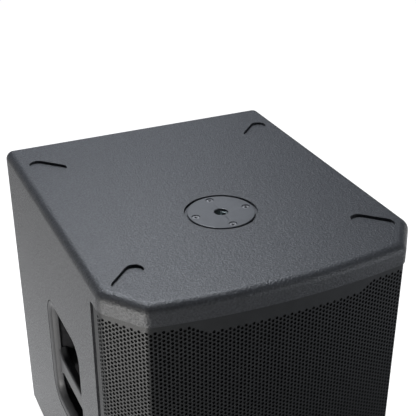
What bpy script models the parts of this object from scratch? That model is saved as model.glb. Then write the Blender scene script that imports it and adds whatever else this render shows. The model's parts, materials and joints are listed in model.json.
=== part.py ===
"""Active PA subwoofer cabinet: plywood carcass, bent steel grille, 18-inch woofer, amplifier module.

The frame is +Z up, front towards -Y, with its origin on the floor under the middle of the cabinet.
Sizes are in metres. The carcass stands on four rubber feet that match the slots in its top, so cabinets stack.
"""

import math

import bmesh
import bpy
from mathutils import Matrix, Vector

# Driving dimensions
WIDTH = 0.526
DEPTH = 0.628
BODY_HEIGHT = 0.581
FOOT_HEIGHT = 0.012
PLY = 0.018
GAP = 0.0003  # between faces that meet
EDGE_ROUND = 0.015

# Plan of the front: two chamfers and a shallow bow
CHAMFER_X = 0.213
CHAMFER_SIDE_Y = -0.229
CHAMFER_FRONT_Y = -0.295
LIP_HEIGHT = 0.034
RAIL_DEPTH = 0.030

# Pole plate and stacking slots in the top
PLATE_Y = -0.079
RECESS_RADIUS = 0.060
PLATE_RADIUS = 0.0558
PLATE_THICKNESS = 0.004
PLATE_HOLE = 0.0118
SCREW_CIRCLE = 0.045
SOCKET_RADIUS = 0.017
SOCKET_BORE = 0.010
SOCKET_LENGTH = 0.046
SOCKET_FLOOR = 0.007
SLOT_X = 0.208
SLOT_FRONT_Y = -0.207
SLOT_REAR_Y = 0.210
SLOT_LENGTH = 0.0735
SLOT_WIDTH = 0.0292
SLOT_DEPTH = 0.004
FOOT_CLEARANCE = 0.0015

# Grille, with a return along each side that ends at a groove
SHEET = 0.0015
GRILLE_INSET = 0.002
RETURN_Y = -0.200
REBATE_Y = -0.192
REBATE_DEPTH = 0.006
FOAM = 0.005

# Handles in the sides
HANDLE_Y = -0.008
HANDLE_WIDTH = 0.188
HANDLE_HEIGHT = 0.226
HANDLE_BELOW_TOP = 0.294
HANDLE_CORNER = 0.042
HANDLE_FLANGE = 0.003
HANDLE_RIM = 0.014
HANDLE_DEPTH = 0.062
HANDLE_WALL = 0.003
GRIP_HEIGHT = 0.034
GRIP_THICKNESS = 0.014
GRIP_INSET = 0.010
GRIP_DROP = 0.032  # of the grip's middle below the handle's

# Woofer, whose axis is along Y, and the slot port under it
BAFFLE_Y = -0.2285
WOOFER_RADIUS = 0.230
WOOFER_HOLE = 0.212
WOOFER_FLANGE = 0.006
WOOFER_SCREW_CIRCLE = 0.2205
BASKET_DEPTH = 0.118
BASKET_FOOT = 0.126
BASKET_HUB = 0.060
BASKET_WALL = 0.004
CONE_RADIUS = 0.180
CONE_NECK_DEPTH = 0.078
COIL_RADIUS = 0.0515
COIL_REACH = 0.138
MAGNET_RADIUS = 0.110
MAGNET_THICKNESS = 0.0237
POLE_PIECE_PLATE = 0.0097
PORT_HEIGHT = 0.048
PORT_LENGTH = 0.300
SHELF = 0.012

# Amplifier module in the rear panel
REAR_INSET = 0.020
AMP_WIDTH = 0.300
AMP_HEIGHT = 0.360
AMP_PLATE = 0.004
AMP_OVERLAP = 0.014
CONTROL_ROW = -0.040  # height of the connectors and controls from the module's middle
MAINS_ROW = -0.120
INPUT_X = (-0.100, -0.065)
OUTPUT_X = (-0.030, 0.005)
KNOB_X = 0.060
BUTTON_X = 0.090
LIGHT_X = 0.115
INLET_X = -0.085
ROCKER_X = -0.030
ROCKER_TILT = 8.0  # degrees either side of level, tilted to off at rest

# What the driving dimensions give
TOP = FOOT_HEIGHT + BODY_HEIGHT
SIDE_X = WIDTH / 2
INNER_X = SIDE_X - PLY
FRONT_Y = -DEPTH / 2
BACK_Y = DEPTH / 2
FLOOR_Z = FOOT_HEIGHT + PLY
CEILING_Z = TOP - PLY
HANDLE_Z = TOP - HANDLE_BELOW_TOP
GRIP_Z = HANDLE_Z - GRIP_DROP
SHELF_Z = FLOOR_Z + PORT_HEIGHT
WOOFER_Z = (SHELF_Z + SHELF + CEILING_Z) / 2
REAR_FACE = BACK_Y - REAR_INSET
AMP_Z = (TOP + FOOT_HEIGHT) / 2
AMP_FACE = REAR_FACE + GAP + AMP_PLATE

# Materials: name, colour, roughness, metallic
PAINT = ("textured_paint", (0.045, 0.047, 0.052), 0.62, 0.0)
STEEL_PAINT = ("grille_paint", (0.035, 0.036, 0.038), 0.45, 0.0)
PLYWOOD = ("plywood", (0.48, 0.33, 0.19), 0.75, 0.0)
PLASTIC = ("moulded_plastic", (0.05, 0.05, 0.053), 0.5, 0.0)
RUBBER = ("rubber", (0.02, 0.02, 0.02), 0.85, 0.0)
FOAM_CELLS = ("foam", (0.012, 0.012, 0.012), 0.95, 0.0)
ZINC = ("zinc_steel", (0.55, 0.57, 0.58), 0.35, 1.0)
BLACK_METAL = ("black_aluminium", (0.04, 0.04, 0.043), 0.5, 0.8)
PAPER = ("cone_paper", (0.03, 0.03, 0.032), 0.8, 0.0)
FERRITE = ("ferrite", (0.08, 0.08, 0.085), 0.6, 0.0)
COPPER = ("copper", (0.72, 0.36, 0.2), 0.35, 1.0)
CIRCUIT = ("circuit_board", (0.03, 0.18, 0.08), 0.5, 0.0)
LENS = ("light_lens", (0.1, 0.6, 0.25), 0.2, 0.0)

UP = Vector((0, 0, 1))
BACKWARD = Vector((0, 1, 0))

CABINET = bpy.data.collections.new("pa_subwoofer")
CUTTERS = bpy.data.collections.new("cutters")


def clear_scene():
    for obj in list(bpy.data.objects):
        bpy.data.objects.remove(obj)
    for collection in (CABINET, CUTTERS):
        bpy.context.scene.collection.children.link(collection)


def material(spec):
    """The Principled material that a spec describes, made once."""
    name, colour, roughness, metallic = spec
    made = bpy.data.materials.get(name)
    if made is None:
        made = bpy.data.materials.new(name)
        made.use_nodes = True
        shader = made.node_tree.nodes["Principled BSDF"]
        shader.inputs["Base Color"].default_value = (*colour, 1)
        shader.inputs["Roughness"].default_value = roughness
        shader.inputs["Metallic"].default_value = metallic
    return made


def place(name, mesh, spec):
    """An object in the cabinet's collection, or a hidden helper for Booleans where spec is None."""
    obj = bpy.data.objects.new(name, mesh)
    if spec is None:
        obj.hide_render = True
        obj.display_type = "WIRE"
        CUTTERS.objects.link(obj)
    else:
        mesh.materials.append(material(spec))
        CABINET.objects.link(obj)
    return obj


def solid(name, bm, spec=None, matrix=None):
    """An object from bm, which it frees."""
    if matrix:
        bm.transform(matrix)
    bm.normal_update()
    bmesh.ops.recalc_face_normals(bm, faces=bm.faces)
    mesh = bpy.data.meshes.new(name)
    bm.to_mesh(mesh)
    bm.free()
    mesh.shade_smooth()
    mesh.set_sharp_from_angle(angle=math.radians(35))
    return place(name, mesh, spec)


def box_shape(low, high):
    low, high = Vector(low), Vector(high)
    size = high - low
    bm = bmesh.new()
    bmesh.ops.create_cube(bm, size=1)
    bmesh.ops.scale(bm, vec=size, verts=bm.verts)
    bmesh.ops.translate(bm, vec=(low + high) / 2, verts=bm.verts)
    return bm


def box(name, low, high, spec=None):
    return solid(name, box_shape(low, high), spec)


def round_edges(bm, chosen, radius, steps):
    """Rounds the edges for whose two ends chosen(a, b) is true."""
    edges = [e for e in bm.edges if chosen(*(v.co for v in e.verts))]
    bmesh.ops.bevel(
        bm, geom=edges, offset=radius, segments=steps, profile=0.5, affect="EDGES", clamp_overlap=True
    )


def rod(name, start, radius, length, axis, spec=None, steps=16, end_radius=None):
    """A cylinder, or a cone where end_radius is given, from start along axis."""
    bm = bmesh.new()
    bmesh.ops.create_cone(
        bm,
        cap_ends=True,
        segments=steps,
        radius1=radius,
        radius2=radius if end_radius is None else end_radius,
        depth=length,
    )
    turn = UP.rotation_difference(axis).to_matrix().to_4x4()
    return solid(name, bm, spec, Matrix.Translation(Vector(start) + axis * length / 2) @ turn)


def turned(name, profile, spec, centre, steps=40, forwards=True):
    """A profile of (radius, distance along the axis) turned about an axis through centre.

    The axis points to the front, or up where forwards is False. A profile that starts on the axis is
    open there, and any other is the section of a ring.
    """
    area = sum(a[0] * b[1] - b[0] * a[1] for a, b in zip(profile, profile[1:] + profile[:1]))
    if area > 0:
        profile = profile[::-1]
    count = len(profile)
    joins = [(i, i + 1) for i in range(count - 1)]
    if min(radius for radius, along in profile) > 0:
        joins.append((count - 1, 0))
    mesh = bpy.data.meshes.new(name)
    mesh.from_pydata([(radius, 0, along) for radius, along in profile], joins, [])
    obj = place(name, mesh, spec)
    obj.location = centre
    if forwards:
        obj.rotation_euler.x = math.radians(90)
    screw = obj.modifiers.new("Turn", "SCREW")
    screw.steps = steps
    screw.render_steps = steps
    screw.use_merge_vertices = True
    screw.merge_threshold = 0.00005
    return obj


def prism(points, low, high):
    """A flat outline in plan, filled and raised from one height to another."""
    curve = bpy.data.curves.new("outline", "CURVE")
    curve.dimensions = "2D"
    curve.fill_mode = "BOTH"
    curve.extrude = (high - low) / 2
    spline = curve.splines.new("POLY")
    spline.points.add(len(points) - 1)
    for point, (x, y) in zip(spline.points, points):
        point.co = (x, y, 0, 1)
    spline.use_cyclic_u = True
    guide = bpy.data.objects.new("outline", curve)
    bpy.context.scene.collection.objects.link(guide)
    graph = bpy.context.evaluated_depsgraph_get()
    mesh = bpy.data.meshes.new_from_object(guide.evaluated_get(graph))
    bpy.data.objects.remove(guide)
    bpy.data.curves.remove(curve)
    bm = bmesh.new()
    bm.from_mesh(mesh)
    bpy.data.meshes.remove(mesh)
    bmesh.ops.remove_doubles(bm, verts=bm.verts, dist=0.00001)
    bmesh.ops.dissolve_limit(bm, angle_limit=0.001, verts=bm.verts, edges=bm.edges)
    bmesh.ops.translate(bm, vec=(0, 0, (low + high) / 2), verts=bm.verts)
    return bm


def arc(centre, radius, start, end, steps):
    """Points along an arc, with its angles in degrees."""
    turns = [math.radians(start + (end - start) * i / steps) for i in range(steps + 1)]
    return [(centre[0] + radius * math.cos(t), centre[1] + radius * math.sin(t)) for t in turns]


def rounded_rectangle(width, height, corner, steps=4):
    points = []
    for number, (sx, sy) in enumerate(((1, 1), (-1, 1), (-1, -1), (1, -1))):
        centre = (sx * (width / 2 - corner), sy * (height / 2 - corner))
        points += arc(centre, corner, 90 * number, 90 * number + 90, steps)
    return points


def stadium(length, width, steps=6):
    """A slot's outline, long along X."""
    reach = (length - width) / 2
    return arc((reach, 0), width / 2, -90, 90, steps) + arc((-reach, 0), width / 2, 90, 270, steps)


def combine(obj, operation, helpers):
    for helper in helpers:
        boolean = obj.modifiers.new(helper.name, "BOOLEAN")
        boolean.operation = operation
        boolean.object = helper


def cut(obj, *helpers):
    combine(obj, "DIFFERENCE", helpers)


def join(obj, *helpers):
    combine(obj, "UNION", helpers)


def front_path():
    """The plan of the chamfers and the bowed front, from the left side to the right side."""
    rise = CHAMFER_FRONT_Y - FRONT_Y
    radius = (CHAMFER_X**2 + rise**2) / (2 * rise)
    reach = math.degrees(math.asin(CHAMFER_X / radius))
    bow = arc((0, FRONT_Y + radius), radius, 270 - reach, 270 + reach, 10)
    return [(-SIDE_X, CHAMFER_SIDE_Y), *bow, (SIDE_X, CHAMFER_SIDE_Y)]


def moved_in(path, distance):
    """A path that runs from left to right across the front, moved towards the inside with mitred corners."""
    points = [Vector(point) for point in path]
    normals = []
    for a, b in zip(points, points[1:]):
        along = (b - a).normalized()
        normals.append(Vector((-along.y, along.x)))
    moved = []
    for point, before, after in zip(points, normals[:1] + normals, normals + normals[-1:]):
        moved.append(tuple(point + (before + after) * distance / (1 + before.dot(after))))
    return moved


def strip(path, depth, thickness):
    """The outline in plan of a sheet that follows a path at a depth inside it."""
    return moved_in(path, depth) + moved_in(path, depth + thickness)[::-1]


def slot_places():
    """The centre and turn of each stacking slot: front left, rear left, front right, rear right."""
    for side in (-1, 1):
        for y, turn in ((SLOT_FRONT_Y, 45), (SLOT_REAR_Y, -45)):
            yield Vector((side * SLOT_X, y, 0)), math.radians(-side * turn)


def slot_shape(clearance, low, high, centre, turn, rounding=0.0):
    bm = prism(stadium(SLOT_LENGTH - 2 * clearance, SLOT_WIDTH - 2 * clearance), low, high)
    if rounding:
        round_edges(bm, lambda a, b: max(a.z, b.z) < low + GAP, rounding, 2)
    bm.transform(Matrix.Translation(centre) @ Matrix.Rotation(turn, 4, "Z"))
    return bm


def end_panel(name, low, high, outer_z):
    """The top or bottom panel, rounded around its outer face and down its rear corners."""
    bm = prism([*front_path(), (SIDE_X, BACK_Y), (-SIDE_X, BACK_Y)], low, high)

    def outer(a, b):
        around = max(abs(a.z - outer_z), abs(b.z - outer_z)) < GAP
        rear_corner = min(a.y, b.y) > BACK_Y - GAP and abs(a.z - b.z) > GAP
        return around or rear_corner

    round_edges(bm, outer, EDGE_ROUND, 4)
    return solid(name, bm, PAINT)


def top_panel():
    panel = end_panel("top_panel", CEILING_Z, TOP, TOP)
    for number, (centre, turn) in enumerate(slot_places()):
        shape = slot_shape(0, TOP - SLOT_DEPTH, TOP + PLY, centre, turn)
        cut(panel, solid(f"slot_cutter_{number}", shape))
    recess_floor = (0, PLATE_Y, TOP - PLATE_THICKNESS - GAP)
    cut(
        panel,
        rod("recess_cutter", recess_floor, RECESS_RADIUS, PLY, UP, steps=48),
        rod("bush_cutter", (0, PLATE_Y, CEILING_Z - PLY), SOCKET_RADIUS + GAP, 3 * PLY, UP, steps=24),
    )


def side_matrix(side):
    """Lays an outline drawn in plan in a side wall: its X along Y, its Y up, its height outwards."""
    return Matrix(((0, 0, side, 0), (1, 0, 0, HANDLE_Y), (0, 1, 0, HANDLE_Z), (0, 0, 0, 1)))


def handle_slab(name, side, shrink, inner, outer, spec=None):
    """A slab of the handle's outline made smaller by shrink, between two distances from the middle."""
    size = (HANDLE_WIDTH - 2 * shrink, HANDLE_HEIGHT - 2 * shrink)
    shape = prism(rounded_rectangle(*size, HANDLE_CORNER - shrink), inner, outer)
    return solid(name, shape, spec, side_matrix(side))


def side_panel(name, side):
    """A side wall, with a rebate for the grille's return and a hole for the handle."""
    near, far = sorted((side * INNER_X, side * SIDE_X))
    bm = box_shape((near, CHAMFER_SIDE_Y + GAP, FLOOR_Z + GAP), (far, BACK_Y, CEILING_Z - GAP))

    def rear_outer(a, b):
        return min(a.y, b.y) > BACK_Y - GAP and min(side * a.x, side * b.x) > SIDE_X - GAP

    round_edges(bm, rear_outer, EDGE_ROUND, 4)
    panel = solid(name, bm, PAINT)
    near, far = sorted((side * (SIDE_X - REBATE_DEPTH), side * (SIDE_X + PLY)))
    rebate = box(
        f"{name}_rebate_cutter",
        (near, CHAMFER_SIDE_Y - PLY, FOOT_HEIGHT + LIP_HEIGHT),
        (far, REBATE_Y, TOP - LIP_HEIGHT),
    )
    seat = handle_slab(f"{name}_seat_cutter", side, -GAP, SIDE_X - HANDLE_FLANGE - GAP, SIDE_X + PLY)
    shrink = HANDLE_RIM - HANDLE_WALL - GAP
    hole = handle_slab(f"{name}_hole_cutter", side, shrink, INNER_X - PLY, SIDE_X + PLY)
    cut(panel, rebate, seat, hole)


def front_rail(name, low, high):
    """A rail across the front, behind the lip above or below the grille."""
    back = CHAMFER_SIDE_Y - GAP
    outline = [(-SIDE_X, back), *front_path()[1:-1], (SIDE_X, back)]
    outline += [(INNER_X, back), *moved_in(front_path(), RAIL_DEPTH)[-2:0:-1], (-INNER_X, back)]
    solid(name, prism(outline, low, high), PAINT)


def carcass():
    top_panel()
    end_panel("bottom_panel", FOOT_HEIGHT, FLOOR_Z, FOOT_HEIGHT)
    side_panel("left_side_panel", -1)
    side_panel("right_side_panel", 1)
    front_rail("upper_front_rail", TOP - LIP_HEIGHT, CEILING_Z - GAP)
    front_rail("lower_front_rail", FLOOR_Z + GAP, FOOT_HEIGHT + LIP_HEIGHT)
    half, low, high = INNER_X - GAP, FLOOR_Z + GAP, CEILING_Z - GAP
    rear = box("rear_panel", (-half, REAR_FACE - PLY, low), (half, REAR_FACE, high), PAINT)
    amp_x, amp_z = AMP_WIDTH / 2 - AMP_OVERLAP, AMP_HEIGHT / 2 - AMP_OVERLAP
    bay_low = (-amp_x, REAR_FACE - 2 * PLY, AMP_Z - amp_z)
    cut(rear, box("bay_cutter", bay_low, (amp_x, REAR_FACE + PLY, AMP_Z + amp_z)))
    board_back = BAFFLE_Y + PLY
    baffle = box("baffle_board", (-half, BAFFLE_Y, low), (half, board_back, high), PAINT)
    port_x = 0.200
    cut(
        baffle,
        rod("woofer_cutter", (0, BAFFLE_Y - PLY, WOOFER_Z), WOOFER_HOLE, 3 * PLY, BACKWARD, steps=40),
        box("port_cutter", (-port_x, BAFFLE_Y - PLY, FLOOR_Z + SHELF), (port_x, board_back + PLY, SHELF_Z)),
    )
    shelf_end = board_back + PORT_LENGTH
    shelf_top = SHELF_Z + SHELF
    box("port_shelf", (-half, board_back + GAP, SHELF_Z), (half, shelf_end, shelf_top), PLYWOOD)
    brace_y, window_x, border = 0.145, 0.170, 0.070
    brace = box("window_brace", (-half, brace_y, low), (half, brace_y + PLY, high), PLYWOOD)
    window = ((-window_x, brace_y - PLY, low + border), (window_x, brace_y + 2 * PLY, high - border))
    cut(brace, box("window_cutter", *window))


def grille():
    """One bent sheet: bowed front, two chamfers and a return along each side, with foam behind it."""
    front = front_path()
    low, high = FOOT_HEIGHT + LIP_HEIGHT + GAP, TOP - LIP_HEIGHT - GAP
    sheet_path = [(-SIDE_X, RETURN_Y), *front, (SIDE_X, RETURN_Y)]
    solid("grille", prism(strip(sheet_path, GRILLE_INSET, SHEET), low, high), STEEL_PAINT)
    trim = 0.15  # the foam stops this part of a chamfer short of the side wall
    start = Vector(front[0]).lerp(Vector(front[1]), trim)
    end = Vector(front[-1]).lerp(Vector(front[-2]), trim)
    foam_path = [tuple(start), *front[1:-1], tuple(end)]
    solid("grille_foam", prism(strip(foam_path, GRILLE_INSET + SHEET + GAP, FOAM), low, high), FOAM_CELLS)


def pole_mount():
    """A round plate over a threaded bush, held by four countersunk screws."""
    low = TOP - PLATE_THICKNESS
    plate = rod("pole_plate", (0, PLATE_Y, low), PLATE_RADIUS, PLATE_THICKNESS, UP, STEEL_PAINT, 48)
    cut(plate, rod("plate_hole_cutter", (0, PLATE_Y, low - PLY), PLATE_HOLE, 2 * PLY, UP, steps=24))
    base = low - GAP - SOCKET_LENGTH
    socket = rod("pole_socket", (0, PLATE_Y, base), SOCKET_RADIUS, SOCKET_LENGTH, UP, ZINC, 24)
    bore_floor = (0, PLATE_Y, base + SOCKET_FLOOR)
    cut(socket, rod("bore_cutter", bore_floor, SOCKET_BORE, SOCKET_LENGTH, UP, steps=24))
    shank, head, head_depth, length = 0.0028, 0.0060, 0.0032, 0.020
    for number in range(4):
        turn = math.radians(90 * number)
        x, y = SCREW_CIRCLE * math.cos(turn), PLATE_Y + SCREW_CIRCLE * math.sin(turn)
        clear = shank + 2 * GAP
        sink_start, depth = (x, y, TOP - head_depth - 2 * GAP), head_depth + 3 * GAP
        sink = rod(f"sink_cutter_{number}", sink_start, clear, depth, UP, end_radius=head + 3 * GAP)
        hole = rod(f"plate_screw_cutter_{number}", (x, y, CEILING_Z - PLY), clear, 3 * PLY, UP)
        cut(plate, sink, hole)
        cut(bpy.data.objects["top_panel"], hole)
        face = TOP - GAP
        profile = [(0, face), (head, face), (head, face - GAP), (shank, face - head_depth)]
        profile += [(shank, face - length), (0, face - length)]
        turned(f"pole_plate_screw_{number + 1}", profile, ZINC, (x, y, 0), 12, forwards=False)


def feet():
    """Rubber feet, a little smaller than the slots of the cabinet that they stand in when stacked."""
    names = ("front_left_foot", "rear_left_foot", "front_right_foot", "rear_right_foot")
    for name, (centre, turn) in zip(names, slot_places()):
        shape = slot_shape(FOOT_CLEARANCE, 0, FOOT_HEIGHT - GAP, centre, turn, rounding=0.002)
        solid(name, shape, RUBBER)


def handle(name, side):
    """A moulded cup that opens outwards, with a grip bar moulded across it."""
    face = SIDE_X - GAP
    inner = SIDE_X - HANDLE_DEPTH
    cup = handle_slab(name, side, 0, SIDE_X - HANDLE_FLANGE, face, PLASTIC)
    shell = handle_slab(f"{name}_shell_helper", side, HANDLE_RIM - HANDLE_WALL, inner, face - GAP)
    hollow = handle_slab(f"{name}_hollow_cutter", side, HANDLE_RIM, inner + HANDLE_WALL, SIDE_X + PLY)
    half = HANDLE_WIDTH / 2 - HANDLE_RIM + HANDLE_WALL / 2
    outer_x = SIDE_X - GRIP_INSET
    near, far = sorted((side * (outer_x - GRIP_THICKNESS), side * outer_x))
    low = (near, HANDLE_Y - half, GRIP_Z - GRIP_HEIGHT / 2)
    high = (far, HANDLE_Y + half, GRIP_Z + GRIP_HEIGHT / 2)
    bar = box_shape(low, high)
    round_edges(bar, lambda a, b: abs(a.y - b.y) > half, 0.005, 3)
    join(cup, shell)
    cut(cup, hollow)
    join(cup, solid(f"{name}_bar_helper", bar))


def woofer_chassis(centre):
    """The basket and the surround. Distances are in front of the baffle's face."""
    seat, shoulder, wall = WOOFER_HOLE - 0.001, 0.012, 0.003
    inside = seat - wall / 2
    foot_inside = BASKET_FOOT - wall
    outer = [(WOOFER_RADIUS, WOOFER_FLANGE), (WOOFER_RADIUS, GAP), (seat, GAP), (seat, -shoulder)]
    outer += [(BASKET_FOOT, -BASKET_DEPTH), (BASKET_HUB, -BASKET_DEPTH)]
    inner = [(BASKET_HUB, BASKET_WALL - BASKET_DEPTH), (foot_inside, BASKET_WALL - BASKET_DEPTH)]
    inner += [(seat - wall, BASKET_WALL - shoulder), (inside, WOOFER_FLANGE)]
    basket = turned("woofer_basket", outer + inner, BLACK_METAL, centre)
    for number in range(6):
        window = box_shape((0.120, 0.030, -0.035), (0.230, 0.095, 0.035))
        matrix = Matrix.Translation(centre) @ Matrix.Rotation(math.radians(60 * number), 4, "Y")
        cut(basket, solid(f"basket_window_cutter_{number}", window, None, matrix))
    skirt, rise = 0.0015, 0.0095
    inner_edge, outer_edge = CONE_RADIUS + GAP, 0.2085
    middle = ((inner_edge + outer_edge) / 2, -skirt)
    section = [(inner_edge, 0), (inner_edge, -skirt), *arc(middle, rise - skirt, 180, 0, 6)]
    section += [(outer_edge, -skirt), (outer_edge, 0), *arc(middle, rise, 10, 170, 6)]
    turned("woofer_surround", section, RUBBER, centre)


def woofer_motor(centre):
    """Spider, magnet and the steel on both sides of it, with a gap that the voice coil moves in."""

    def ring(name, inner, outer, front, thickness, spec):
        back = front - thickness
        turned(name, [(inner, front), (outer, front), (outer, back), (inner, back)], spec, centre, 32)

    spider_front, cloth = -0.100, 0.0012
    ring("woofer_spider", COIL_RADIUS + 2 * GAP, BASKET_FOOT + 0.002, spider_front, cloth, PAPER)
    gap_outer, gap_inner = COIL_RADIUS + 0.0015, COIL_RADIUS - 0.0020
    front = -BASKET_DEPTH - GAP
    ring("woofer_front_plate", gap_outer, 0.100, front, POLE_PIECE_PLATE, ZINC)
    front -= POLE_PIECE_PLATE + GAP
    ring("woofer_magnet", BASKET_HUB, MAGNET_RADIUS, front, MAGNET_THICKNESS, FERRITE)
    front -= MAGNET_THICKNESS + GAP
    vent, edge, pole_front, back = 0.015, 0.104, -0.119, -0.164
    yoke = [(vent, pole_front), (gap_inner, pole_front), (gap_inner, front), (edge, front)]
    turned("woofer_back_plate", [*yoke, (edge, back), (vent, back)], ZINC, centre, 32)


def woofer_moving_parts(centre):
    """Cone, dust cap and voice coil, which slide together along the axis."""
    edge, neck, thickness = CONE_RADIUS - 0.006, COIL_RADIUS + GAP, 0.003
    neck_back = -CONE_NECK_DEPTH - thickness
    section = [(CONE_RADIUS, 0), (edge, 0), (neck, -CONE_NECK_DEPTH), (neck, neck_back)]
    turned("woofer_cone", [*section, (CONE_RADIUS, -thickness)], PAPER, centre)
    cap, dome, skin, steps = 0.066, 0.018, 0.0015, 5
    base = -CONE_NECK_DEPTH * (edge - cap) / (edge - neck) + GAP
    quarter = [math.radians(90 * i / steps) for i in range(steps)]
    outside = [(cap * math.sin(t), base + dome * math.cos(t)) for t in quarter]
    inside = [((cap - skin) * math.sin(t), base + (dome - skin) * math.cos(t)) for t in quarter]
    rim = [(cap, base + 2 * GAP), (cap - skin, base + 2 * GAP)]
    turned("woofer_dust_cap", outside + rim + inside[::-1], PAPER, centre, 32)
    inner, front = COIL_RADIUS - 0.001, neck_back + thickness / 2
    coil = [(inner, front), (COIL_RADIUS, front), (COIL_RADIUS, -COIL_REACH), (inner, -COIL_REACH)]
    turned("woofer_voice_coil", coil, COPPER, centre, 32)


def woofer_screws():
    shank, head, head_height, length = 0.0026, 0.0050, 0.005, 0.016
    seat = WOOFER_FLANGE + GAP
    profile = [(0, seat + head_height), (head, seat + head_height), (head, seat)]
    profile += [(shank, seat), (shank, -length), (0, -length)]
    count = 8
    for number in range(count):
        turn = 2 * math.pi * (number + 0.5) / count
        x = WOOFER_SCREW_CIRCLE * math.cos(turn)
        z = WOOFER_Z + WOOFER_SCREW_CIRCLE * math.sin(turn)
        start = (x, BAFFLE_Y - PLY, z)
        hole = rod(f"woofer_screw_cutter_{number}", start, shank + 2 * GAP, 3 * PLY, BACKWARD, steps=8)
        cut(bpy.data.objects["woofer_basket"], hole)
        cut(bpy.data.objects["baffle_board"], hole)
        turned(f"woofer_screw_{number + 1}", profile, ZINC, (x, BAFFLE_Y, z), 8)


def amplifier_inside():
    """Heat sink, circuit board and transformer, behind the module's panel."""
    sink_half, sink_plate, sink_y = 0.110, 0.006, REAR_FACE - 0.040
    low, high = AMP_Z + 0.030, AMP_Z + 0.150
    sink = box("heat_sink", (-sink_half, sink_y, low), (sink_half, sink_y + sink_plate, high), BLACK_METAL)
    fins, pitch, fin = 9, 0.026, 0.0015
    for number in range(fins):
        x = (number - (fins - 1) / 2) * pitch
        start = (x - fin, sink_y + sink_plate / 2, low + GAP)
        join(sink, box(f"fin_helper_{number}", start, (x + fin, REAR_FACE - GAP, high - GAP)))
    board_half, board, board_y = 0.120, 0.0016, sink_y - sink_plate
    board_low = (-board_half, board_y, AMP_Z - 0.150)
    box("amp_board", board_low, (board_half, board_y + board, low - 0.010), CIRCUIT)
    inner, outer, height, edge = 0.014, 0.052, 0.045, 0.004
    coil = [(inner, 0), (outer - edge, 0), (outer, edge), (outer, height - edge), (outer - edge, height)]
    middle = (0.060, board_y - GAP, AMP_Z - 0.065)
    turned("power_transformer", [*coil, (inner, height)], COPPER, middle, 24)


def rear_block(name, x, z, half_x, half_z, near, far, spec=None):
    """A block about a point of the module's face, from near to far behind that face."""
    low = (x - half_x, AMP_FACE + near, z - half_z)
    return box(name, low, (x + half_x, AMP_FACE + far, z + half_z), spec)


def rear_rod(name, x, z, radius, near, far, spec=None, steps=20):
    return rod(name, (x, AMP_FACE + near, z), radius, far - near, BACKWARD, spec, steps)


def xlr_socket(name, panel, x, latched):
    """A round signal connector with a square flange. A latched one takes a plug around its insert."""
    z = AMP_Z + CONTROL_ROW
    half_x, half_z, flange, length = 0.0130, 0.0155, 0.002, 0.028
    barrel, mouth, insert, depth = 0.0115, 0.0085, 0.0055, 0.013
    cut(panel, rear_rod(f"{name}_hole_cutter", x, z, barrel + GAP, -PLY, PLY))
    body = rear_block(name, x, z, half_x, half_z, GAP, flange, BLACK_METAL)
    join(body, rear_rod(f"{name}_barrel_helper", x, z, barrel, -length, flange / 2))
    cut(body, rear_rod(f"{name}_mouth_cutter", x, z, mouth, -depth, depth))
    if latched:
        join(body, rear_rod(f"{name}_insert_helper", x, z, insert, -depth - 0.001, -0.001))
        tab_half, tab_height, tab_z, proud = 0.0035, 0.00175, z + 0.01175, 0.0045
        slot_size = (tab_half + GAP, tab_height + GAP, -0.006, PLY)
        for target in (body, panel):
            cut(target, rear_block(f"{target.name}_{name}_slot_cutter", x, tab_z, *slot_size))
        rear_block(f"{name}_latch", x, tab_z, tab_half, tab_height, -0.003, proud, ZINC)


def mains_parts(panel):
    """The inlet for a mains lead, and the power rocker beside it."""
    z = AMP_Z + MAINS_ROW
    shell_x, shell_z, wall, border = 0.0138, 0.0100, 0.0019, 0.0053
    shell_end, mouth_end, flange = -0.026, -0.018, 0.003
    cut(panel, rear_block("inlet_hole_cutter", INLET_X, z, shell_x + GAP, shell_z + GAP, -PLY, PLY))
    inlet = rear_block("mains_inlet", INLET_X, z, shell_x + border, shell_z + border, GAP, flange, PLASTIC)
    join(inlet, rear_block("inlet_shell_helper", INLET_X, z, shell_x, shell_z, shell_end, flange / 3))
    cut(inlet, rear_block("inlet_mouth_cutter", INLET_X, z, shell_x - wall, shell_z - wall, mouth_end, PLY))
    half_x, half_z, behind, proud, clearance = 0.0075, 0.0105, 0.006, 0.0075, 0.001
    hole_size = (half_x + clearance, half_z + 2 * clearance)
    cut(panel, rear_block("rocker_hole_cutter", ROCKER_X, z, *hole_size, -PLY, PLY))
    bm = box_shape((-half_x, -behind, -half_z), (half_x, proud, half_z))
    round_edges(bm, lambda a, b: min(a.y, b.y) > 0 and abs(a.x - b.x) > GAP, 0.002, 2)
    rocker = solid("power_rocker", bm, PLASTIC, Matrix.Rotation(math.radians(-ROCKER_TILT), 4, "X"))
    rocker.location = (ROCKER_X, AMP_FACE - AMP_PLATE, z)


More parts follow.
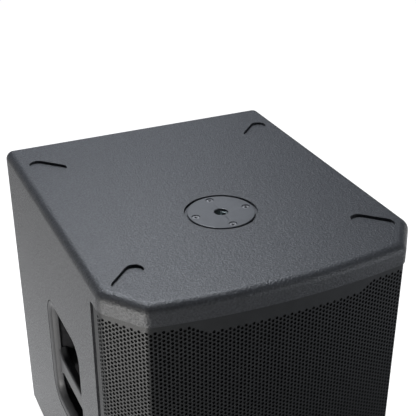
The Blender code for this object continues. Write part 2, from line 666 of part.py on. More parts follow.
def controls(panel):
    """Level knob, phase button and status light, in the row of the connectors."""
    z = AMP_Z + CONTROL_ROW
    shaft, button_radius, light_radius, clearance = 0.0030, 0.0045, 0.0025, 0.0005
    for x, radius in ((KNOB_X, shaft), (BUTTON_X, button_radius), (LIGHT_X, light_radius)):
        cut(panel, rear_rod(f"control_hole_cutter_{x}", x, z, radius + clearance, -PLY, PLY, None, 16))
    knob_radius, knob_top, knob_height, knob_gap = 0.0095, 0.0085, 0.013, 0.001
    knob = rod("level_knob", (0, knob_gap, 0), knob_radius, knob_height, BACKWARD, PLASTIC, 20, knob_top)
    join(knob, rear_rod("knob_shaft_helper", KNOB_X, z, shaft, -0.012, 2 * clearance + 0.003, None, 16))
    mark_size = (0.0006, PLY / 2, knob_height, PLY)
    cut(knob, rear_block("knob_mark_cutter", KNOB_X, z + 0.002 + PLY / 2, *mark_size))
    knob.location = (KNOB_X, AMP_FACE, z)
    button_length = 0.0165
    button = rod("phase_button", (0, -0.012, 0), button_radius, button_length, BACKWARD, PLASTIC)
    button.location = (BUTTON_X, AMP_FACE, z)
    rear_rod("status_light", LIGHT_X, z, light_radius, -0.008, 0.0015, LENS, 12)


def amplifier():
    half_x, half_z = AMP_WIDTH / 2, AMP_HEIGHT / 2
    low = (-half_x, REAR_FACE + GAP, AMP_Z - half_z)
    panel = box("amp_panel", low, (half_x, AMP_FACE, AMP_Z + half_z), BLACK_METAL)
    amplifier_inside()
    for name, input_x, output_x in zip(("left", "right"), INPUT_X, OUTPUT_X):
        xlr_socket(f"{name}_input", panel, input_x, latched=True)
        xlr_socket(f"{name}_output", panel, output_x, latched=False)
    mains_parts(panel)
    controls(panel)
    shank, head, inset = 0.0021, 0.0040, AMP_OVERLAP / 2
    head_height, length = 0.0020, 0.018
    profile = [(0, -head_height - GAP), (head, -head_height), (head, -GAP), (shank, -GAP)]
    profile += [(shank, length), (0, length)]
    corners = ((-1, -1), (1, -1), (-1, 1), (1, 1))
    for number, (side, up) in enumerate(corners):
        x, z = side * (half_x - inset), AMP_Z + up * (half_z - inset)
        hole = rear_rod(f"amp_screw_cutter_{number}", x, z, shank + 2 * GAP, -2 * PLY, PLY, None, 8)
        cut(panel, hole)
        cut(bpy.data.objects["rear_panel"], hole)
        turned(f"amp_screw_{number + 1}", profile, ZINC, (x, AMP_FACE, z), 8)


def main():
    clear_scene()
    carcass()
    grille()
    pole_mount()
    feet()
    handle("left_handle", -1)
    handle("right_handle", 1)
    centre = Vector((0, BAFFLE_Y, WOOFER_Z))
    woofer_chassis(centre)
    woofer_motor(centre)
    woofer_moving_parts(centre)
    woofer_screws()
    amplifier()


main()
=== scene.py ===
"""Looks of the active PA subwoofer: a seamless painted carcass, a perforated grille and detailed fittings.

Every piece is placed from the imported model's own boxes. Sizes are in metres, +Z up, front towards -Y.
"""

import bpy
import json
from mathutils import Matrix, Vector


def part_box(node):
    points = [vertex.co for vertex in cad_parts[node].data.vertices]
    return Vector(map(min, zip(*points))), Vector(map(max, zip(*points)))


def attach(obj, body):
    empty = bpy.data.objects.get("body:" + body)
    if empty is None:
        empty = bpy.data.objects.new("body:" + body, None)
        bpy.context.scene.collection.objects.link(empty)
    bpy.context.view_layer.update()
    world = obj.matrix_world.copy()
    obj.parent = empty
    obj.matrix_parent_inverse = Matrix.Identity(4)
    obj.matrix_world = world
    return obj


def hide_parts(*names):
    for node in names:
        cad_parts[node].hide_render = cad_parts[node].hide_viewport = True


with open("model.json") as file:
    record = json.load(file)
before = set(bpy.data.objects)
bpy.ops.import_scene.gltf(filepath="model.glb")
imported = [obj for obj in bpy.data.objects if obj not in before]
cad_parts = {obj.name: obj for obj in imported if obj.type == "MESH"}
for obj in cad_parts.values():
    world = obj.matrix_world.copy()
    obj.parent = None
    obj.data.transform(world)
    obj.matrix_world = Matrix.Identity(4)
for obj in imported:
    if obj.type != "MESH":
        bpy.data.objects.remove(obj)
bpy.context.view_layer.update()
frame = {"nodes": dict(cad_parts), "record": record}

import json
import math

import bmesh
import bpy
from mathutils import Matrix, Vector

BODY = "cabinet"

# Plan of the front, as the carcass has it
CHAMFER_X = 0.213
CHAMFER_SIDE_Y = -0.229
CHAMFER_FRONT_Y = -0.295
SIDE_CORNER = 0.028
FRONT_CORNER = 0.018
EDGE_ROUND = 0.015
PLY = 0.018
GAP = 0.0003

# Perforation
HOLE_RADIUS = 0.0026
COLUMN_PITCH = 0.00615
ROW_PITCH = 0.0071
SHEET = 0.0012
GRILLE_INSET = 0.002
GRILLE_PIECES = 4


def node_box(name):
    """Lowest and highest corner of a CAD node, and its middle."""
    low, high = (Vector(corner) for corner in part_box(name))
    return low, high, (low + high) / 2


TOP_LOW, TOP_HIGH, _ = node_box("top_panel")
BOTTOM_LOW, _, _ = node_box("bottom_panel")
GRILLE_LOW, GRILLE_HIGH, _ = node_box("grille")
SIDE_X, BACK_Y, TOP = TOP_HIGH
FRONT_Y = TOP_LOW.y
BOTTOM = BOTTOM_LOW.z


# Materials


class Surface:
    """A Principled material whose nodes are added one after another."""

    def __init__(self, name, colour, roughness, metallic=0.0, **sockets):
        self.made = bpy.data.materials.new(name)
        self.made.use_nodes = True
        self.nodes = self.made.node_tree.nodes
        self.links = self.made.node_tree.links
        self.shader = self.nodes["Principled BSDF"]
        self.colour = colour
        self.set("Base Color", (*colour, 1))
        self.set("Roughness", roughness)
        self.set("Metallic", metallic)
        for socket, value in sockets.items():
            self.set(socket.replace("_", " "), value)
        self.place = self.nodes.new("ShaderNodeTexCoord").outputs["Object"]
        self.bumped = None

    def set(self, socket, value):
        self.shader.inputs[socket].default_value = value

    def noise(self, size, detail=2.0, roughness=0.5):
        """Noise whose features are about size across."""
        node = self.nodes.new("ShaderNodeTexNoise")
        node.inputs["Scale"].default_value = 1 / size
        node.inputs["Detail"].default_value = detail
        node.inputs["Roughness"].default_value = roughness
        self.links.new(self.place, node.inputs["Vector"])
        return node.outputs["Fac"]

    def cells(self, size, feature="F1"):
        node = self.nodes.new("ShaderNodeTexVoronoi")
        node.feature = feature
        node.inputs["Scale"].default_value = 1 / size
        self.links.new(self.place, node.inputs["Vector"])
        return node.outputs["Distance"]

    def spread(self, source, low, high, start=0.3, end=0.7):
        """Maps a pattern's middle range onto the range from low to high."""
        node = self.nodes.new("ShaderNodeMapRange")
        for socket, value in (("From Min", start), ("From Max", end), ("To Min", low), ("To Max", high)):
            node.inputs[socket].default_value = value
        self.links.new(source, node.inputs["Value"])
        return node.outputs["Result"]

    def combined(self, first, second, operation):
        node = self.nodes.new("ShaderNodeMath")
        node.operation = operation
        self.links.new(first, node.inputs[0])
        self.links.new(second, node.inputs[1])
        return node.outputs["Value"]

    def vary_roughness(self, source, low, high):
        self.links.new(self.spread(source, low, high), self.shader.inputs["Roughness"])

    def vary_colour(self, source, darker, lighter, start=0.3, end=0.7):
        """Scales the base colour between two factors."""
        node = self.nodes.new("ShaderNodeMix")
        node.data_type = "RGBA"
        node.inputs["A"].default_value = (*(c * darker for c in self.colour), 1)
        node.inputs["B"].default_value = (*(c * lighter for c in self.colour), 1)
        self.links.new(self.spread(source, 0, 1, start, end), node.inputs["Factor"])
        self.links.new(node.outputs["Result"], self.shader.inputs["Base Color"])

    def bump(self, source, height, strength=1.0):
        """Adds relief of a height in metres, over any that is there."""
        node = self.nodes.new("ShaderNodeBump")
        node.inputs["Distance"].default_value = height
        node.inputs["Strength"].default_value = strength
        self.links.new(source, node.inputs["Height"])
        if self.bumped:
            self.links.new(self.bumped, node.inputs["Normal"])
        self.bumped = node.outputs["Normal"]
        self.links.new(self.bumped, self.shader.inputs["Normal"])


def textured_paint():
    """Sprayed polyurea: soft pebbles a few millimetres across, with finer grit on them."""
    paint = Surface("textured_paint", (0.041, 0.043, 0.047), 0.46, Specular_IOR_Level=0.5)
    pebbles = paint.noise(0.0036, 3.0, 0.6)
    paint.bump(pebbles, 0.0015, 0.7)
    paint.bump(paint.noise(0.0010, 1.0), 0.0005, 0.8)
    paint.vary_colour(pebbles, 0.65, 1.4)
    paint.vary_roughness(pebbles, 0.50, 0.34)
    return paint.made


def powder_coat():
    """Satin powder coat on the grille."""
    coat = Surface("powder_coat", (0.024, 0.025, 0.026), 0.54, Specular_IOR_Level=0.35)
    coat.bump(coat.noise(0.0008, 2.0), 0.0001, 0.6)
    coat.vary_colour(coat.noise(0.020, 3.0), 0.9, 1.12)
    coat.vary_roughness(coat.noise(0.0015, 3.0), 0.48, 0.60)
    return coat.made


def plate_coat_painted_light():
    """The same coat on the flat steel plate, where it lies smoother; its colour is lighter than the
    grille's coat, as painted light for the light falling on the plate's top.
    """
    coat = Surface("plate_coat_painted_light", (0.062, 0.065, 0.070), 0.33)
    coat.bump(coat.noise(0.0008, 2.0), 0.00005, 0.6)
    coat.vary_colour(coat.noise(0.015, 3.0), 0.9, 1.12)
    coat.vary_roughness(coat.noise(0.004, 3.0), 0.28, 0.38)
    return coat.made


def moulded_plastic():
    """Spark-eroded texture of an injection moulding."""
    plastic = Surface("moulded_plastic", (0.056, 0.057, 0.060), 0.44)
    grain = plastic.noise(0.0007, 2.0)
    plastic.bump(grain, 0.0001, 0.7)
    plastic.vary_colour(plastic.noise(0.015, 2.0), 0.93, 1.08)
    plastic.vary_roughness(grain, 0.40, 0.56)
    return plastic.made


def black_metal():
    """Black electrophoretic coat on aluminium."""
    coat = Surface("black_aluminium", (0.030, 0.031, 0.033), 0.42, 0.0)
    coat.bump(coat.noise(0.0006, 2.0), 0.00008, 0.6)
    coat.vary_colour(coat.noise(0.030, 3.0), 0.88, 1.15)
    coat.vary_roughness(coat.noise(0.004, 3.0), 0.36, 0.50)
    return coat.made


def zinc_plate():
    """Bright zinc with faint clouding and tool marks."""
    zinc = Surface("zinc_steel", (0.36, 0.41, 0.41), 0.38, 1.0)
    zinc.vary_colour(zinc.noise(0.004, 3.0), 0.80, 1.08)
    zinc.vary_roughness(zinc.noise(0.0015, 3.0), 0.30, 0.46)
    zinc.bump(zinc.noise(0.0012, 3.0), 0.00006, 0.7)
    return zinc.made


def black_steel():
    """Black oxide on machined steel, worn bright in places."""
    steel = Surface("black_steel", (0.16, 0.16, 0.165), 0.30, 1.0)
    steel.vary_colour(steel.noise(0.0025, 4.0), 0.4, 2.2)
    steel.vary_roughness(steel.noise(0.0012, 3.0), 0.26, 0.46)
    steel.bump(steel.noise(0.0010, 3.0), 0.00006, 0.7)
    return steel.made


def printing_ink():
    """Pale ink, a little worn."""
    ink = Surface("printing_ink", (0.62, 0.62, 0.60), 0.6)
    ink.vary_colour(ink.noise(0.0006, 3.0), 0.82, 1.05)
    return ink.made


def rubber():
    skin = Surface("rubber", (0.017, 0.017, 0.018), 0.78)
    skin.bump(skin.noise(0.0010, 2.0), 0.0001, 0.8)
    skin.vary_colour(skin.noise(0.008, 3.0), 0.8, 1.4)
    skin.vary_roughness(skin.noise(0.003, 2.0), 0.70, 0.88)
    return skin.made


def foam():
    """Open-cell foam: pores between thin walls."""
    sponge = Surface("foam", (0.006, 0.006, 0.006), 0.95)
    pores = sponge.cells(0.0018)
    sponge.bump(pores, 0.0012, 1.0)
    sponge.vary_colour(pores, 1.4, 0.3, 0.1, 0.7)
    return sponge.made


def plywood():
    """Birch veneer, its grain drawn out along X."""
    wood = Surface("plywood", (0.50, 0.35, 0.20), 0.7)
    stretch = wood.nodes.new("ShaderNodeMapping")
    stretch.inputs["Scale"].default_value = (0.06, 1.0, 1.0)
    wood.links.new(wood.place, stretch.inputs["Vector"])
    wood.place = stretch.outputs["Vector"]
    grain = wood.noise(0.004, 4.0, 0.6)
    wood.vary_colour(grain, 0.72, 1.12)
    wood.vary_roughness(grain, 0.6, 0.8)
    wood.bump(grain, 0.0002, 0.6)
    return wood.made


def cone_paper():
    pulp = Surface("cone_paper", (0.022, 0.022, 0.024), 0.8)
    fibres = pulp.noise(0.0015, 5.0, 0.7)
    pulp.bump(fibres, 0.0003, 0.8)
    pulp.vary_colour(fibres, 0.7, 1.5)
    return pulp.made


def cup_painted_shade():
    """The moulding's plastic for the inside of the cup, coloured near black as painted shade for the deep
    pocket.
    """
    dark = Surface("cup_painted_shade", (0.020, 0.020, 0.022), 0.75, Specular_IOR_Level=0.35)
    dark.bump(dark.noise(0.0012, 3.0), 0.0002, 0.7)
    dark.vary_colour(dark.noise(0.010, 3.0), 0.7, 1.4)
    return dark.made


def ferrite():
    block = Surface("ferrite", (0.060, 0.060, 0.065), 0.6)
    block.bump(block.noise(0.002, 4.0), 0.0002, 0.7)
    block.vary_colour(block.noise(0.010, 4.0), 0.8, 1.3)
    return block.made


def copper_winding():
    """Enamelled wire, wound in fine turns round the axis."""
    wire = Surface("copper", (0.72, 0.34, 0.18), 0.34, 1.0)
    wave = wire.nodes.new("ShaderNodeTexWave")
    wave.bands_direction = "Y"
    wave.inputs["Scale"].default_value = 300
    wave.inputs["Distortion"].default_value = 0.4
    wire.links.new(wire.place, wave.inputs["Vector"])
    wire.bump(wave.outputs["Fac"], 0.0004, 0.8)
    wire.vary_colour(wave.outputs["Fac"], 0.5, 1.05, 0.0, 0.8)
    return wire.made


def circuit_board():
    board = Surface("circuit_board", (0.020, 0.110, 0.050), 0.35)
    tracks = board.cells(0.006, "DISTANCE_TO_EDGE")
    board.vary_colour(tracks, 1.8, 0.8, 0.02, 0.06)
    board.bump(tracks, 0.0002, 0.5)
    return board.made


def light_lens():
    lens = Surface("light_lens", (0.06, 0.42, 0.14), 0.18, Coat_Weight=0.5)
    lens.vary_colour(lens.noise(0.002, 1.0), 0.8, 1.2)
    return lens.made


# Shapes


def fillet(points, radii, steps=5):
    """A closed outline with its corners rounded. A corner of radius 0 stays one point."""
    outline = []
    for i, (point, radius) in enumerate(zip(points, radii)):
        if radius == 0:
            outline.append(tuple(point))
            continue
        before = (points[i - 1] - point).normalized()
        after = (points[(i + 1) % len(points)] - point).normalized()
        half = math.acos(max(-1, min(1, before.dot(after)))) / 2
        centre = point + (before + after).normalized() * radius / math.sin(half)
        start = point + before * radius / math.tan(half) - centre
        end = point + after * radius / math.tan(half) - centre
        sweep = start.angle_signed(end)
        for step in range(steps + 1):
            turned = start.copy()
            turned.rotate(Matrix.Rotation(-sweep * step / steps, 2))
            outline.append(tuple(centre + turned))
    return outline


def moved_in(points, distance):
    """A closed anticlockwise outline moved inwards, with mitred corners."""
    moved = []
    for i, point in enumerate(points):
        into = (point - points[i - 1]).normalized()
        out = (points[(i + 1) % len(points)] - point).normalized()
        first, second = Vector((-into.y, into.x)), Vector((-out.y, out.x))
        moved.append(point + (first + second) * distance / (1 + first.dot(second)))
    return moved


def bow(steps):
    """The bowed front between its two corners, from left to right."""
    rise = CHAMFER_FRONT_Y - FRONT_Y
    radius = (CHAMFER_X**2 + rise**2) / (2 * rise)
    reach = math.asin(CHAMFER_X / radius)
    turns = [reach * (2 * i / steps - 1) for i in range(steps + 1)]
    return [Vector((radius * math.sin(t), FRONT_Y + radius * (1 - math.cos(t)))) for t in turns]


def plan(inset, steps=24):
    """The carcass from above, anticlockwise, moved in by inset. Its count of points is always the same."""
    front = bow(steps)
    corners = [Vector((-SIDE_X, CHAMFER_SIDE_Y)), *front, Vector((SIDE_X, CHAMFER_SIDE_Y))]
    corners += [Vector((SIDE_X, BACK_Y)), Vector((-SIDE_X, BACK_Y))]
    side_round, front_round = SIDE_CORNER - inset / 2, FRONT_CORNER - inset / 2
    rear_round = max(EDGE_ROUND - inset, 0.0004)
    radii = [side_round, front_round] + [0] * (len(front) - 2) + [front_round, side_round]
    return fillet(moved_in(corners, inset), radii + [rear_round, rear_round])


def rounded_rectangle(width, height, corner, steps=8):
    x, y = width / 2, height / 2
    corners = [Vector((x, y)), Vector((-x, y)), Vector((-x, -y)), Vector((x, -y))]
    return fillet(corners, [corner] * 4, steps)


def stadium(length, width):
    """A slot's outline, long along X."""
    return rounded_rectangle(length, width, width / 2 - 0.00001, 10)


def circle(radius, steps):
    turns = [2 * math.pi * i / steps for i in range(steps)]
    return [(radius * math.cos(t), radius * math.sin(t)) for t in turns]


def at_height(outline, z):
    return [(x, y, z) for x, y in outline]


def finish_mesh(name, bm, material, angle=32):
    """An object from bm, shaded smooth up to an angle."""
    bmesh.ops.recalc_face_normals(bm, faces=bm.faces)
    mesh = bpy.data.meshes.new(name)
    bm.to_mesh(mesh)
    bm.free()
    mesh.shade_smooth()
    mesh.set_sharp_from_angle(angle=math.radians(angle))
    if material:
        mesh.materials.append(material)
    obj = bpy.data.objects.new(name, mesh)
    bpy.context.collection.objects.link(obj)
    return obj


def loft_shape(rings, closed=True, bm=None):
    """Faces between rings of the same count, capped at the ends unless the rings close on themselves."""
    bm = bm or bmesh.new()
    rows = [[bm.verts.new(point) for point in ring] for ring in rings]
    count = len(rows[0])
    pairs = list(zip(rows, rows[1:]))
    if not closed:
        pairs.append((rows[-1], rows[0]))
    for lower, upper in pairs:
        for i in range(count):
            j = (i + 1) % count
            bm.faces.new((lower[i], lower[j], upper[j], upper[i]))
    if closed:
        bm.faces.new(rows[0][::-1])
        bm.faces.new(rows[-1])
    return bm


def loft(name, rings, material=None, matrix=None, closed=True):
    bm = loft_shape(rings, closed)
    if matrix:
        bm.transform(matrix)
        bm.normal_update()
    return finish_mesh(name, bm, material)


def turned(name, profile, steps, material=None, matrix=None):
    """A profile of (radius, height) from the axis out and back to it, turned about Z."""
    rings = [at_height(circle(radius, steps), z) for radius, z in profile]
    return loft(name, rings, material, matrix)


def prism(name, outline, low, high, matrix=None):
    return loft(name, [at_height(outline, low), at_height(outline, high)], None, matrix)


def block(name, low, high, material=None, bevel=0.0):
    low, high = Vector(low), Vector(high)
    bm = bmesh.new()
    bmesh.ops.create_cube(bm, size=1)
    bmesh.ops.scale(bm, vec=high - low, verts=bm.verts)
    bmesh.ops.translate(bm, vec=(low + high) / 2, verts=bm.verts)
    if bevel:
        bmesh.ops.bevel(bm, geom=bm.edges, offset=bevel, segments=3, profile=0.5, affect="EDGES")
    return finish_mesh(name, bm, material)


def settle(obj):
    """Applies an object's modifiers."""
    graph = bpy.context.evaluated_depsgraph_get()
    mesh = bpy.data.meshes.new_from_object(obj.evaluated_get(graph))
    obj.modifiers.clear()
    obj.data = mesh
    return obj


def combine(obj, operation, helpers):
    for helper in helpers:
        boolean = obj.modifiers.new(helper.name, "BOOLEAN")
        boolean.operation = operation
        boolean.object = helper
    settle(obj)
    for helper in helpers:
        bpy.data.objects.remove(helper)
    return obj


def cut(obj, *helpers):
    return combine(obj, "DIFFERENCE", helpers)


def join(obj, *helpers):
    return combine(obj, "UNION", helpers)


def soften(obj, width, segments=2, angle=40):
    """Rounds the sharp edges that cuts leave, and evens the shading of the large faces."""
    bevel = obj.modifiers.new("Soften", "BEVEL")
    bevel.width = width
    bevel.segments = segments
    bevel.limit_method = "ANGLE"
    bevel.angle_limit = math.radians(angle)
    bevel.use_clamp_overlap = True
    settle(obj)
    obj.data.shade_smooth()
    obj.data.set_sharp_from_angle(angle=math.radians(60))
    even = obj.modifiers.new("Even", "WEIGHTED_NORMAL")
    even.keep_sharp = True
    return settle(obj)


def show(piece, slot, *nodes, body=BODY):
    """Fastens a piece to a body, in the place of CAD nodes."""
    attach(piece, body)
    if nodes:
        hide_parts(*nodes)


# Carcass


def carcass_shell(paint):
    """Top, bottom, sides and front lips as one painted shell, with its cuts."""
    steps = 6
    turns = [math.pi / 2 * i / steps for i in range(steps + 1)]
    rings = []
    for start, up, order in ((BOTTOM, 1, turns), (TOP, -1, reversed(turns))):
        for t in order:
            inset, rise = EDGE_ROUND * (1 - math.sin(t)), EDGE_ROUND * (1 - math.cos(t))
            rings.append(at_height(plan(inset), start + up * rise))
    shell = loft("carcass", rings, paint)
    lip_low, lip_high = GRILLE_LOW.z - GAP, GRILLE_HIGH.z + GAP
    inner_x = SIDE_X - PLY
    room = block("room", (-inner_x, CHAMFER_SIDE_Y, BOTTOM + PLY), (inner_x, BACK_Y + 1, TOP - PLY))
    mouth = block("mouth", (-1, -1, lip_low), (1, CHAMFER_SIDE_Y, lip_high))
    cuts = [room, mouth, *rebate_cutters(lip_low, lip_high), *slot_cutters(), *handle_cutters()]
    plate_low, _, plate = node_box("pole_plate")
    recess_radius, bush_radius = 0.0606, node_box("pole_socket")[1].x + GAP
    matrix = Matrix.Translation((plate.x, plate.y, 0))
    cuts.append(prism("recess", circle(recess_radius, 96), plate_low.z - GAP, TOP + 1, matrix))
    cuts.append(prism("bush_hole", circle(bush_radius, 48), TOP - 2 * PLY, TOP + 1, matrix))
    cut(shell, *cuts)
    soften(shell, 0.0007)
    panels = ("top_panel", "bottom_panel", "left_side_panel", "right_side_panel")
    show(shell, "textured_paint", *panels, "upper_front_rail", "lower_front_rail")


def rebate_cutters(low, high):
    """The step in each side that takes the grille's return and leaves a groove behind it."""
    rebate_y, depth, corner = -0.192, 0.006, 0.0060
    length = rebate_y - CHAMFER_SIDE_Y + 0.05
    for side in (-1, 1):
        outline = rounded_rectangle(length, high - low, corner, 6)
        matrix = side_matrix(side, rebate_y - length / 2, (low + high) / 2)
        yield prism(f"rebate_{side}", outline, SIDE_X - depth, SIDE_X + 0.1, matrix)


SLOT_WIDTH = 0.0292
CORNERS = {"front_left": 45, "rear_left": -45, "front_right": -45, "rear_right": 45}


def slot_cutters():
    """The stacking slots, over the feet."""
    depth, clearance = 0.005, 0.0015
    for name, turn in CORNERS.items():
        low, high, middle = node_box(f"{name}_foot")
        span = (high.x - low.x) + 2 * clearance
        length = (span - SLOT_WIDTH) * math.sqrt(2) + SLOT_WIDTH
        matrix = Matrix.Translation((middle.x, middle.y, 0)) @ Matrix.Rotation(math.radians(turn), 4, "Z")
        yield prism(f"slot_{name}", stadium(length, SLOT_WIDTH), TOP - depth, TOP + 1, matrix)


def side_matrix(side, y, z):
    """Lays an outline drawn in plan in a side wall: its X along Y, its Y up, its height outwards."""
    return Matrix(((0, 0, side, 0), (1, 0, 0, y), (0, 1, 0, z), (0, 0, 0, 1)))


HANDLE_CORNER = 0.042
HANDLE_RIM = 0.014
HANDLE_WALL = 0.003
HANDLE_FLANGE = 0.003
GRIP_DROP = 0.032


def handle_ring(low, high, inset, depth):
    """The handle's outline moved in by inset, at a depth behind the side's face."""
    width, height = high.y - low.y - 2 * inset, high.z - low.z - 2 * inset
    outline = rounded_rectangle(width, height, max(HANDLE_CORNER - inset, 0.002), 12)
    return at_height(outline, SIDE_X - depth)


def handle_cutters():
    for name, side in (("left_handle", -1), ("right_handle", 1)):
        low, high, middle = node_box(name)
        matrix = side_matrix(side, middle.y, middle.z)
        gap = 0.0008
        seat = [handle_ring(low, high, -gap, d) for d in (HANDLE_FLANGE + GAP, -0.1)]
        hole = [handle_ring(low, high, HANDLE_RIM - HANDLE_WALL - gap, d) for d in (2 * PLY, -0.1)]
        yield loft(f"{name}_seat", seat, None, matrix)
        yield loft(f"{name}_hole", hole, None, matrix)


def handles(plastic, dark):
    """Each handle is a bevelled rim whose wall ends at a lip, a cup behind that in a near-black material
    that paints the shade in it, and a grip.
    """
    rim = [
        (0.0150, 0.0155),
        (0.0166, 0.0146),
        (0.0170, 0.0134),
        (0.0166, 0.0120),
        (0.0146, 0.0075),
        (0.0116, 0.0040),
        (0.0086, 0.0020),
        (0.0076, 0.0015),
        (0.0030, 0.0006),
        (0.0012, 0.0005),
        (0.0003, 0.0009),
        (0.0000, 0.0018),
        (0.0000, HANDLE_FLANGE),
        (0.0110, HANDLE_FLANGE),
        (0.0110, 0.0155),
    ]
    for name, side in (("left_handle", -1), ("right_handle", 1)):
        low, high, middle = node_box(name)
        floor, mouth = high.x - low.x, 0.0158
        inner, outer = HANDLE_RIM, HANDLE_RIM - HANDLE_WALL
        cup = [(inner + 0.006, floor - HANDLE_WALL), (inner, floor - 0.009), (inner, mouth)]
        cup += [(outer, mouth), (outer, floor - 0.006), (outer + 0.006, floor)]
        matrix = side_matrix(side, middle.y, middle.z)
        rim_rings = [handle_ring(low, high, *at) for at in rim]
        cup_rings = [handle_ring(low, high, *at) for at in cup]
        show(loft(name + "_rim", rim_rings, plastic, matrix, closed=False), "moulded_plastic", name)
        # The cup's near-black material is painted shade.
        show(loft(name + "_cup", cup_rings, dark, matrix), "moulded_plastic")
        reach = (high.y - low.y) / 2 - 0.0150
        show(grip_bar(name + "_grip", middle, side, reach, plastic), "moulded_plastic")


def grip_bar(name, middle, side, reach, plastic):
    """A bar along Y whose section grows towards its ends, where it meets the rim's wall."""
    stations, rings = 40, []
    for i in range(stations + 1):
        along = 2 * i / stations - 1
        flare = max(0, (abs(along) - 0.72) / 0.28) ** 2
        height = 0.0340 + 0.0260 * flare
        thickness = 0.0150 + 0.0010 * flare
        outer = 0.0102 - 0.0004 * flare
        section = rounded_rectangle(thickness, height, 0.0045, 6)
        depth = SIDE_X - outer - thickness / 2
        centre = middle.z - GRIP_DROP
        y = middle.y + along * reach
        rings.append([(side * (depth + x), y, centre + z) for x, z in section])
    return loft(name, rings, plastic)


# Grille


class SheetPath:
    """The plan of the grille's outer face, measured by its length from the left return."""

    def __init__(self):
        side = SIDE_X
        corners = [Vector((-side, BACK_Y)), Vector((-side, CHAMFER_SIDE_Y)), *bow(48)]
        corners += [Vector((side, CHAMFER_SIDE_Y)), Vector((side, BACK_Y))]
        corners = moved_in(corners, GRILLE_INSET)
        side_bend, front_bend = 0.016, 0.009
        radii = [0, side_bend, front_bend] + [0] * (len(corners) - 6) + [front_bend, side_bend, 0]
        outline = [Vector(point) for point in fillet(corners, radii, 8)]
        outline[0].y = outline[-1].y = GRILLE_HIGH.y
        self.points = outline
        self.reach = [0.0]
        for a, b in zip(outline, outline[1:]):
            self.reach.append(self.reach[-1] + (b - a).length)
        self.length = self.reach[-1]
        runs = [(b - a).normalized() for a, b in zip(outline, outline[1:])]
        self.tangents = [(a + b).normalized() for a, b in zip(runs[:1] + runs, runs + runs[-1:])]

    def at(self, along):
        """The point, and the direction towards the inside, at a length along the path."""
        along = min(max(along, 0), self.length)
        k = 0
        while self.reach[k + 1] < along and k < len(self.reach) - 2:
            k += 1
        part = (along - self.reach[k]) / (self.reach[k + 1] - self.reach[k])
        point = self.points[k].lerp(self.points[k + 1], part)
        tangent = self.tangents[k].lerp(self.tangents[k + 1], part).normalized()
        return point, Vector((-tangent.y, tangent.x))


def perforated(point, z):
    """Whether the sheet has a hole here: its blank hem along the top is deeper in the middle."""
    first_y, hem, middle_hem = -0.2205, 0.0112, 0.0232
    ramp_start, ramp_end = 0.128, 0.150
    across = min(max((abs(point.x) - ramp_start) / (ramp_end - ramp_start), 0), 1)
    margin = middle_hem + (hem - middle_hem) * across
    return point.y < first_y and GRILLE_LOW.z + hem < z < GRILLE_HIGH.z - margin


def grille(coat):
    """The sheet is a honeycomb of cells, each with a hole or blank, cut off at the sheet's edges."""
    path = SheetPath()
    columns = int(path.length / 2 / COLUMN_PITCH) + 1
    share = (2 * columns + 1) / GRILLE_PIECES
    for piece in range(GRILLE_PIECES):
        first = round(piece * share) - columns
        last = round((piece + 1) * share) - columns
        made = grille_piece(f"grille_{piece + 1}", path, range(first, last), coat)
        show(made, "grille_paint", *(["grille"] if piece == 0 else []))


def cell_outline():
    """Twelve points round a cell of the staggered pattern: its six corners and the middles between them."""
    quarter = ROW_PITCH**2 / 4
    near = (COLUMN_PITCH**2 - quarter) / (2 * COLUMN_PITCH)
    far = (COLUMN_PITCH**2 + quarter) / (2 * COLUMN_PITCH)
    half = ROW_PITCH / 2
    corners = [(far, 0), (near, half), (-near, half), (-far, 0), (-near, -half), (near, -half)]
    outline = []
    for a, b in zip(corners, corners[1:] + corners[:1]):
        outline += [a, ((a[0] + b[0]) / 2, (a[1] + b[1]) / 2)]
    return outline


def grille_piece(name, path, columns, coat):
    low, high = GRILLE_LOW.z, GRILLE_HIGH.z
    middle = (low + high) / 2
    rows = int((high - low) / 2 / ROW_PITCH) + 1
    around = cell_outline()
    hole = circle(HOLE_RADIUS, len(around))
    flat, index, faces = [], {}, []

    def corner(along, z):
        """The number of a point on the flat sheet, made once."""
        along = min(max(along, 0), path.length)
        z = min(max(z, low), high)
        key = (round(along * 1e6), round(z * 1e6))
        if key not in index:
            index[key] = len(flat)
            flat.append((along, z))
        return index[key]

    for i in columns:
        for j in range(-rows, rows + 1):
            along = path.length / 2 + i * COLUMN_PITCH
            z = middle + (j + (i % 2) / 2) * ROW_PITCH
            rim = [corner(along + x, z + y) for x, y in around]
            if 0 < along < path.length and perforated(path.at(along)[0], z):
                edge = [corner(along + x, z + y) for x, y in hole]
                for k in range(len(rim)):
                    n = (k + 1) % len(rim)
                    faces.append((rim[k], rim[n], edge[n], edge[k]))
            else:
                blank = [p for k, p in enumerate(rim) if p != rim[k - 1]]
                if len(set(blank)) == len(blank) > 2 and flat_area([flat[p] for p in blank]) > 1e-8:
                    faces.append(tuple(blank))
    return thicken(name, path, flat, faces, coat)


def flat_area(points):
    return sum(a[0] * b[1] - b[0] * a[1] for a, b in zip(points, points[1:] + points[:1])) / 2


